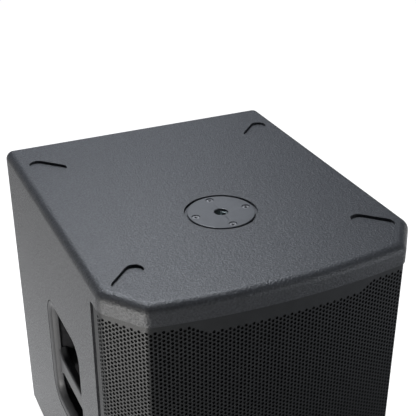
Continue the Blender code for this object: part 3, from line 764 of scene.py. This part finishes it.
def thicken(name, path, flat, faces, coat):
    """Bends a flat pattern along the path, and gives it the sheet's thickness with walls at every edge."""
    used = sorted({p for face in faces for p in face})
    renumber = {p: n for n, p in enumerate(used)}
    front, back = [], []
    for p in used:
        along, z = flat[p]
        point, inwards = path.at(along)
        behind = point + inwards * SHEET
        front.append((point.x, point.y, z))
        back.append((behind.x, behind.y, z))
    count = len(used)
    sides = {}
    solid = []
    for face in faces:
        face = [renumber[p] for p in face]
        solid.append(face)
        solid.append([p + count for p in reversed(face)])
        for a, b in zip(face, face[1:] + face[:1]):
            if (b, a) in sides:
                del sides[(b, a)]
            else:
                sides[(a, b)] = True
    for a, b in sides:
        solid.append([b, a, a + count, b + count])
    mesh = bpy.data.meshes.new(name)
    mesh.from_pydata(front + back, [], solid)
    mesh.shade_smooth()
    mesh.set_sharp_from_angle(angle=math.radians(40))
    mesh.materials.append(coat)
    obj = bpy.data.objects.new(name, mesh)
    bpy.context.collection.objects.link(obj)
    return obj


# Pole mount


def pole_mount(coat, zinc, steel):
    """The plate with countersinks, the threaded bush under it, and four socket-head screws."""
    low, high, middle = node_box("pole_plate")
    radius, rim = (high.x - low.x) / 2, 0.0010
    centre = Matrix.Translation((middle.x, middle.y, 0))
    profile = [(0.001, low.z), (radius, low.z), (radius, TOP - rim)]
    profile += [(radius - rim * 0.3, TOP - rim * 0.3), (radius - rim, TOP), (0.001, TOP)]
    plate = turned("pole_mount_plate", profile, 96, coat, centre)
    hole_radius, chamfer = 0.0112, 0.0012
    hole = [(hole_radius, low.z - 0.01), (hole_radius, TOP - chamfer)]
    hole.append((hole_radius + chamfer + 0.01, TOP + 0.01))
    cutters = [turned("plate_hole", hole, 64, None, centre)]
    for number in range(4):
        name = f"pole_plate_screw_{number + 1}"
        screw = node_box(name)[2]
        head, shank, depth = 0.0070, 0.0036, 0.0044
        sink = [(shank, low.z - 0.01), (shank, TOP - depth), (head, TOP - 0.0004), (head, TOP + 0.01)]
        cutters.append(turned("sink", sink, 32, None, Matrix.Translation((screw.x, screw.y, 0))))
        show(socket_screw(name, screw, steel), "zinc_steel", name)
    cut(plate, *cutters)
    soften(plate, 0.00025, 2, 50)
    show(plate, "grille_paint", "pole_plate")
    bush = threaded_bush(low.z - GAP, centre, zinc)
    show(bush, "zinc_steel", "pole_socket")


def socket_screw(name, middle, steel):
    """A countersunk screw with a hexagon socket."""
    top, head, shank = TOP - 0.0013, 0.0058, 0.0028
    profile = [(0.0005, TOP - 0.020), (shank, TOP - 0.019), (shank, top - 0.0030)]
    profile += [(head, top - 0.0003), (head, top), (0.0005, top)]
    matrix = Matrix.Translation((middle.x, middle.y, 0))
    screw = turned(name.replace("plate", "mount"), profile, 32, steel, matrix)
    socket = prism("socket", circle(0.0026, 6), top - 0.0025, top + 0.01, matrix)
    cut(screw, socket)
    return soften(screw, 0.00018, 2, 50)


def threaded_bush(top, matrix, zinc):
    """A blind bush with a thread of 2.5 mm pitch down its bore."""
    bore, depth, pitch = 0.0100, 0.0012, 0.0025
    outer, length, floor = 0.0170, 0.046, 0.0070
    steps, per_turn, turns = 48, 8, 12
    start = top - 0.0015 - turns * pitch
    rings = [at_height(circle(0.001, steps), top - length + floor)]
    rings.append(at_height(circle(bore - depth, steps), top - length + floor))
    for k in range(turns * per_turn + 1):
        z = start + k * pitch / per_turn
        ring = []
        for i in range(steps):
            turn = 2 * math.pi * i / steps
            phase = ((z - start) / pitch - i / steps) % 1
            radius = bore - depth * abs(1 - 2 * phase)
            ring.append((radius * math.cos(turn), radius * math.sin(turn), z))
        rings.append(ring)
    rings.append(at_height(circle(bore + 0.0010, steps), top))
    rings.append(at_height(circle(outer, steps), top))
    rings.append(at_height(circle(outer, steps), top - length))
    rings.append(at_height(circle(0.001, steps), top - length))
    return loft("pole_thread", rings, zinc, matrix)


# Rear


def rear_matrix(x, y, z):
    """Lays an outline drawn in plan in the rear: its X towards -X, its Y up, its height outwards."""
    return Matrix(((-1, 0, 0, x), (0, 0, 1, y), (0, 1, 0, z), (0, 0, 0, 1)))


def rear_prism(name, outline, middle, near, far):
    """An outline about a point of the rear, from one Y to another."""
    return prism(name, outline, near, far, rear_matrix(middle.x, 0, middle.z))


def screen_printed(name, strokes, face, ink):
    """Flat marks printed on the module: strokes from one point of its face to another."""
    bm = bmesh.new()
    thickness, half = 0.0001, 0.0003
    for start, end in strokes:
        start, end = Vector(start), Vector(end)
        aside = (end - start).normalized()
        aside = Vector((-aside.y, aside.x)) * half
        corners = [start + aside, end + aside, end - aside, start - aside]
        loft_shape([[(p.x, face + d, p.y) for p in corners] for d in (0, thickness)], True, bm)
    show(finish_mesh(name, bm, ink), "black_aluminium")


def amplifier(metal, plastic, zinc, ink):
    low, high, middle = node_box("amp_panel")
    face = high.y
    width, height = high.x - low.x, high.z - low.z
    panel = rear_prism("amp_module", rounded_rectangle(width, height, 0.006, 5), middle, low.y, face)
    panel.data.materials.append(metal)
    holes = []

    def hole(outline, at):
        holes.append(rear_prism(f"hole_{len(holes)}", outline, at, low.y - 0.01, face + 0.01))

    for name in ("left_input", "right_input", "left_output", "right_output"):
        at = node_box(name)[2]
        hole(circle(0.0118, 40), at)
        xlr_socket(name, at, face, metal, zinc)
    for name in ("left_input_latch", "right_input_latch"):
        latch_low, latch_high, at = node_box(name)
        hole(rounded_rectangle(0.0076, 0.0041, 0.0004, 2), at)
        show(block(name + "_tab", latch_low, latch_high, zinc, 0.0006), "zinc_steel", name, body=name)
    hole(rounded_rectangle(0.0282, 0.0206, 0.0008, 3), node_box("mains_inlet")[2])
    hole(rounded_rectangle(0.017, 0.025, 0.0008, 3), node_box("power_rocker")[2])
    for name, radius in (("level_knob", 0.0035), ("phase_button", 0.0050), ("status_light", 0.0030)):
        hole(circle(radius, 24), node_box(name)[2])
    for number in range(4):
        name = f"amp_screw_{number + 1}"
        at = node_box(name)[2]
        hole(circle(0.0027, 20), at)
        show(pan_screw(name, at, face, zinc), "zinc_steel", name)
    cut(panel, *holes)
    soften(panel, 0.0005, 2, 50)
    show(panel, "black_aluminium", "amp_panel")
    mains_inlet(face, plastic, zinc)
    controls(face, plastic, ink)


def xlr_socket(name, at, face, metal, zinc):
    """A flanged socket. An input has an insert with three contacts, and an output has three pins."""
    flange = face + 0.002
    screw_x, screw_z = 0.0095, 0.0120
    outline = rounded_rectangle(0.026, 0.031, 0.0025, 4)
    body = rear_prism(name + "_flange", outline, at, face + GAP, flange)
    barrel = [(0.001, face - 0.028), (0.0115, face - 0.028), (0.0115, flange - 0.0005)]
    barrel += [(0.0106, flange), (0.001, flange)]
    matrix = rear_matrix(at.x, 0, at.z)
    join(body, turned("barrel", barrel, 48, None, matrix))
    mouth = [(0.001, face - 0.013), (0.0085, face - 0.013), (0.0085, flange - 0.0008)]
    mouth += [(0.0110, flange + 0.0017), (0.001, flange + 0.0017)]
    tools = [turned("mouth", mouth, 48, None, matrix)]
    for side in (-1, 1):
        centre = Vector((at.x + side * screw_x, 0, at.z - side * screw_z))
        tools.append(rear_prism(f"fixing_{side}", circle(0.0016, 20), centre, face - 0.01, face + 0.01))
    if name.endswith("input"):
        tab, latch = rounded_rectangle(0.0076, 0.0041, 0.0004, 2), node_box(name + "_latch")[2]
        tools.append(rear_prism("tab_slot", tab, latch, face - 0.006, face + 0.01))
    cut(body, *tools)
    soften(body, 0.0003, 2, 50)
    body.data.materials.append(metal)
    show(body, "black_aluminium", name)
    contacts = [(0.0033 * math.cos(t), 0.0033 * math.sin(t)) for t in (0.5, math.pi - 0.5, 1.5 * math.pi)]
    if name.endswith("input"):
        insert = [(0.001, face - 0.014), (0.0055, face - 0.014), (0.0055, face - 0.0015)]
        insert += [(0.0051, face - 0.001), (0.001, face - 0.001)]
        core = turned(name + "_insert", insert, 40, metal, matrix)
        holes = []
        for number, (x, z) in enumerate(contacts):
            spot = Vector((at.x + x, 0, at.z + z))
            holes.append(rear_prism(f"contact_{number}", circle(0.0013, 16), spot, face - 0.008, face))
        cut(core, *holes)
        soften(core, 0.0002, 2, 50)
        show(core, "black_aluminium")
        return
    for number, (x, z) in enumerate(contacts):
        pin = [(0.0003, face - 0.014), (0.0012, face - 0.014), (0.0012, face - 0.003)]
        pin += [(0.0008, face - 0.0022), (0.0003, face - 0.002)]
        spot = rear_matrix(at.x + x, 0, at.z + z)
        made = turned(f"{name}_pin_{number + 1}", pin, 16, zinc, spot)
        show(made, "zinc_steel")


def pan_screw(name, at, face, zinc):
    """A pan-head screw with a cross recess."""
    base, top = face + GAP, face + 0.0020
    profile = [(0.0003, face - 0.018), (0.0018, face - 0.017), (0.0021, face - 0.015)]
    profile += [(0.0021, base), (0.0040, base), (0.0040, top - 0.0010)]
    profile += [(0.0034, top - 0.0003), (0.0022, top), (0.0003, top)]
    screw = turned(name.replace("amp", "module"), profile, 32, zinc, rear_matrix(at.x, 0, at.z))
    arms = [rounded_rectangle(0.0044, 0.0009, 0.0002, 2), rounded_rectangle(0.0009, 0.0044, 0.0002, 2)]
    cut(screw, *[rear_prism(f"arm_{i}", arm, at, top - 0.0012, top + 0.01) for i, arm in enumerate(arms)])
    return soften(screw, 0.00012, 1, 50)


def mains_inlet(face, plastic, zinc):
    """An appliance inlet with three blades in a shaped mouth."""
    low, high, at = node_box("mains_inlet")
    width, height = high.x - low.x, high.z - low.z
    flange, shell = rounded_rectangle(width, height, 0.003, 4), rounded_rectangle(0.0276, 0.0200, 0.001, 3)
    body = rear_prism("inlet_flange", flange, at, face + GAP, high.y)
    join(body, rear_prism("shell", shell, at, low.y, face + 0.001))
    x, z, chamfer = 0.0118, 0.0080, 0.0045
    mouth = [(x, z - chamfer), (x - chamfer, z), (chamfer - x, z), (-x, z - chamfer), (-x, -z), (x, -z)]
    cut(body, rear_prism("mouth", mouth, at, face - 0.018, face + 0.01))
    soften(body, 0.0006, 2, 50)
    body.data.materials.append(plastic)
    show(body, "moulded_plastic", "mains_inlet")
    for number, (dx, dz) in enumerate(((-0.007, -0.002), (0.007, -0.002), (0.0, 0.002))):
        corner = Vector((0.001, 0, 0.002))
        spot = Vector((at.x + dx, 0, at.z + dz))
        start, end = spot - corner, spot + corner
        start.y, end.y = face - 0.0185, face - 0.004
        show(block(f"inlet_blade_{number + 1}", start, end, zinc, 0.0004), "zinc_steel")


def controls(face, plastic, ink):
    """The ribbed level knob with its pointer and printed scale, and the phase button."""
    low, high, at = node_box("level_knob")
    ribs, steps = 24, 6
    knob_low, knob_high = face + 0.001, high.y
    rib_depth, count = 0.00035, ribs * steps
    turns = [2 * math.pi * i / count for i in range(count)]
    outlines = []
    for radius, y in ((0.0094, knob_low), (0.0094, knob_low + 0.0005), (0.0086, knob_high - 0.0008)):
        radii = [radius - rib_depth * (1 - math.cos(ribs * t)) for t in turns]
        ribbed = [(r * math.cos(t), r * math.sin(t)) for r, t in zip(radii, turns)]
        outlines.append(at_height(ribbed, y))
    outlines.append(at_height(circle(0.0076, count), knob_high))
    outlines.append(at_height(circle(0.0070, count), knob_high))
    outlines.append(at_height(circle(0.0066, count), knob_high - 0.0004))
    knob = loft("level_dial", outlines, plastic, rear_matrix(at.x, 0, at.z))
    pointer = Vector((at.x, 0, at.z + 0.0065))
    notch = rounded_rectangle(0.0012, 0.008, 0.0005, 3)
    cut(knob, rear_prism("pointer", notch, pointer, knob_high - 0.001, knob_high + 0.01))
    shaft = rear_prism("level_shaft", circle(0.003, 24), at, low.y, knob_low + 0.002)
    join(knob, shaft)
    show(knob, "moulded_plastic", "level_knob", body="level_knob")
    strokes = []
    for step in range(11):
        turn = math.radians(240 - 30 * step)
        inner, outer = 0.0108, 0.0128 if step % 5 else 0.0140
        strokes.append([(at.x + r * math.cos(turn), at.z + r * math.sin(turn)) for r in (inner, outer)])
    screen_printed("level_scale", strokes, face, ink)
    button_low, button_high, at = node_box("phase_button")
    radius = (button_high.x - button_low.x) / 2
    profile = [(0.0003, button_low.y), (radius, button_low.y), (radius, button_high.y - 0.0010)]
    profile += [(radius - 0.0003, button_high.y - 0.0003), (radius - 0.0010, button_high.y)]
    profile += [(0.0016, button_high.y - 0.0004), (0.0003, button_high.y - 0.0005)]
    button = turned("phase_cap", profile, 32, plastic, rear_matrix(at.x, 0, at.z))
    show(button, "moulded_plastic", "phase_button", body="phase_button")


def feet(skin):
    """Rubber feet with a rounded edge all round the sole."""
    edge, length, width = 0.002, 0.0705, 0.0262
    for name, turn in CORNERS.items():
        low, high, at = node_box(f"{name}_foot")
        rings = []
        for step in range(5):
            t = math.pi / 2 * step / 4
            inset = edge * (1 - math.sin(t))
            outline = stadium(length - 2 * inset, width - 2 * inset)
            rings.append(at_height(outline, low.z + edge * (1 - math.cos(t))))
        rings.append(at_height(stadium(length, width), high.z))
        matrix = Matrix.Translation((at.x, at.y, 0)) @ Matrix.Rotation(math.radians(turn), 4, "Z")
        show(loft(f"{name}_pad", rings, skin, matrix), "rubber", f"{name}_foot")


# CAD nodes that keep their shape


def carry_over(materials):
    """Gives the CAD nodes that stay their detailed materials."""
    for entry in frame["record"]["subparts"]:
        node, slot = entry["node"], entry["material_slot"]
        obj = frame["nodes"].get(node)
        if obj is None:
            continue
        obj.data.materials.clear()
        obj.data.materials.append(materials[slot])


# Studio

AROUND = 0.02
FLOOR_GLOW = 1.0
SIDE_BOX_POWER = 18
TOP_BOX_POWER = 31
BACK_BOX_POWER = 5
RIGHT_BOX_POWER = 15
WARM = (1.0, 0.98, 0.95)
COOL = (0.94, 0.98, 1.05)


def ramp(nodes, links, source, start, end, low, high):
    """Maps one coordinate's stretch from start to end smoothly onto low to high."""
    node = nodes.new("ShaderNodeMapRange")
    node.interpolation_type = "SMOOTHSTEP"
    for socket, value in (("From Min", start), ("From Max", end), ("To Min", low), ("To Max", high)):
        node.inputs[socket].default_value = value
    links.new(source, node.inputs["Value"])
    return node.outputs["Result"]


def surround():
    """A dim room that the camera sees as white."""
    world = bpy.data.worlds.new("surround")
    bpy.context.scene.world = world
    world.use_nodes = True
    nodes, links = world.node_tree.nodes, world.node_tree.links
    glow, seen = nodes["Background"], nodes.new("ShaderNodeBackground")
    glow.inputs["Color"].default_value = (0.90, 0.98, 1.12, 1)
    glow.inputs["Strength"].default_value = AROUND
    seen.inputs["Color"].default_value = (1, 1, 1, 1)
    rays = nodes.new("ShaderNodeLightPath")
    mix = nodes.new("ShaderNodeMixShader")
    links.new(rays.outputs["Is Camera Ray"], mix.inputs["Fac"])
    links.new(glow.outputs["Background"], mix.inputs[1])
    links.new(seen.outputs["Background"], mix.inputs[2])
    links.new(mix.outputs["Shader"], nodes["World Output"].inputs["Surface"])


def pale_floor():
    """A pale floor that glows less at the cabinet's left, and not at all close in front of its grille."""
    bpy.ops.mesh.primitive_plane_add(size=30, location=(0, 0, 0))
    floor = bpy.context.object
    floor.name = "floor"
    white = Surface("floor_white", (0.30, 0.30, 0.30), 0.9, Specular_IOR_Level=0.0)
    white.vary_roughness(white.noise(0.3), 0.85, 0.95)
    white.set("Emission Color", (1, 1, 1, 1))
    split = white.nodes.new("ShaderNodeSeparateXYZ")
    white.links.new(white.place, split.inputs["Vector"])
    behind = ramp(white.nodes, white.links, split.outputs["Y"], -0.35, -0.10, 0.0, FLOOR_GLOW)
    left = ramp(white.nodes, white.links, split.outputs["X"], -0.58, -0.40, 0.45, 1.0)
    ahead = ramp(white.nodes, white.links, split.outputs["Y"], -1.80, -3.00, 0.0, 0.6)
    both = white.combined(behind, left, "MULTIPLY")
    white.links.new(white.combined(both, ahead, "MAXIMUM"), white.shader.inputs["Emission Strength"])
    floor.data.materials.append(white.made)


def studio():
    scene = bpy.context.scene
    scene.view_settings.view_transform = "Standard"
    scene.view_settings.look = "None"
    surround()
    pale_floor()
    soft_box("side_box", (-1.05, -0.50, 0.04), (-0.26, -0.24, 0.38), 0.5, SIDE_BOX_POWER, WARM)
    soft_box("top_box", (-0.05, 0.55, 2.00), (-0.10, -0.15, 0.59), 0.5, TOP_BOX_POWER, COOL)
    soft_box("back_box", (0.45, 1.75, 1.75), (0.0, 0.0, 0.59), 1.2, BACK_BOX_POWER, COOL)
    soft_box("right_box", (1.60, -1.60, 0.60), (0.20, -0.20, 0.45), 1.0, RIGHT_BOX_POWER, COOL)


def soft_box(name, place, target, size, power, colour):
    light = bpy.data.lights.new(name, "AREA")
    light.shape = "SQUARE"
    light.size = size
    light.energy = power
    light.color = colour
    obj = bpy.data.objects.new(name, light)
    bpy.context.collection.objects.link(obj)
    obj.location = place
    obj.rotation_euler = (Vector(target) - Vector(place)).to_track_quat("-Z", "Y").to_euler()


def camera():
    """From the front left and above, with the frame slid up over the top of the cabinet."""
    data = bpy.data.cameras.new("camera")
    data.sensor_width = 36
    data.lens = 80.30
    data.shift_x = -0.0024
    data.shift_y = 0.0769
    obj = bpy.data.objects.new("camera", data)
    bpy.context.collection.objects.link(obj)
    yaw, pitch = math.radians(-24.43), math.radians(29.33)
    back = Vector((math.sin(yaw) * math.cos(pitch), -math.cos(yaw) * math.cos(pitch), math.sin(pitch)))
    obj.location = (-0.5727, -1.2922, 1.2935)
    obj.rotation_euler = (-back).to_track_quat("-Z", "Y").to_euler()
    bpy.context.scene.camera = obj


def main():
    paint, coat, plastic, zinc = textured_paint(), powder_coat(), moulded_plastic(), zinc_plate()
    metal, skin = black_metal(), rubber()
    carry_over({
        "textured_paint": paint,
        "plywood": plywood(),
        "grille_paint": coat,
        "foam": foam(),
        "zinc_steel": zinc,
        "rubber": skin,
        "moulded_plastic": plastic,
        "black_aluminium": metal,
        "cone_paper": cone_paper(),
        "ferrite": ferrite(),
        "copper": copper_winding(),
        "circuit_board": circuit_board(),
        "light_lens": light_lens(),
    })
    carcass_shell(paint)
    handles(plastic, cup_painted_shade())
    grille(coat)
    # The plate's coat is a lighter copy of the grille's coat: painted light.
    pole_mount(plate_coat_painted_light(), zinc, black_steel())
    feet(skin)
    amplifier(metal, plastic, zinc, printing_ink())
    studio()
    camera()


main()
